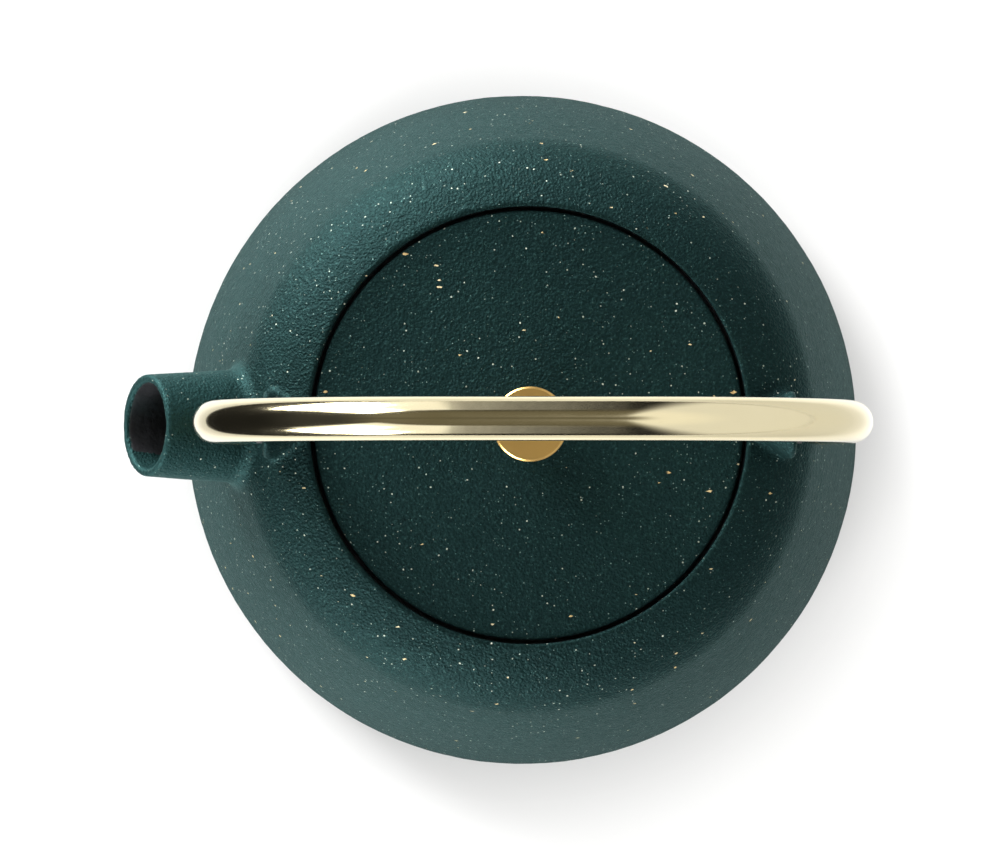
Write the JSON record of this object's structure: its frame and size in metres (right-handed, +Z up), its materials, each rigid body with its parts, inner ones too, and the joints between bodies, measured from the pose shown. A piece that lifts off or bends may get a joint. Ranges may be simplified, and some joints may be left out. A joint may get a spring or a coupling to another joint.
{
  "type": "cast iron teapot",
  "caption": "Round cast iron teapot with a tapered body, short spout, flush lid with a disc knob, tea basket and a tall arched tube handle that swings.",
  "frame": {"origin": "on the pot's axis, in the plane that the foot ring rests on", "axes": "+Z up along the pot's axis; the spout points to -X; the handle arches from -X to +X and swings about X; the part mirrors across the XZ plane"},
  "size_m": [0.17, 0.1588, 0.1795],
  "materials": {
    "coated_iron": "dark teal-green coat with fine cast texture and small pale gold flecks, semi-gloss; black enamel inside",
    "coated_iron_lid": "dark teal-green coat with fine cast texture and small pale gold flecks, satin",
    "polished_brass": "polished pale brass plate",
    "satin_brass": "satin brass plate",
    "screw_steel": "plain steel screw",
    "washer_nylon": "black nylon",
    "stainless": "satin stainless steel",
    "stainless_mesh": "fine stainless wire mesh"
  },
  "bodies": {
    "pot": {"pot_body": "coated_iron", "pivot_screw_front": "satin_brass", "pivot_screw_rear": "satin_brass", "pivot_washer_front": "washer_nylon", "pivot_washer_rear": "washer_nylon"},
    "handle": {"handle_tube": "polished_brass", "handle_end_front": "polished_brass", "handle_end_rear": "polished_brass"},
    "basket": {"infuser_rim": "stainless", "infuser_mesh_wall": "stainless_mesh", "infuser_mesh_floor": "stainless_mesh", "infuser_base_band": "stainless"},
    "lid": {"lid": "coated_iron_lid", "lid_knob": "satin_brass", "knob_screw": "screw_steel", "knob_washer": "screw_steel"}
  },
  "joints": [
    {"name": "handle_swing", "type": "hinge", "parent": "pot", "child": "handle", "pos_m": [0, 0, 0.0895], "axis": [1, 0, 0], "range_deg": [-116, 116]},
    {"name": "basket_lift", "type": "slide", "parent": "pot", "child": "basket", "axis": [0, 0, 1], "range_m": [0, 0.06]},
    {"name": "lid_lift", "type": "slide", "parent": "basket", "child": "lid", "axis": [0, 0, 1], "range_m": [0, 0.055]}
  ]
}
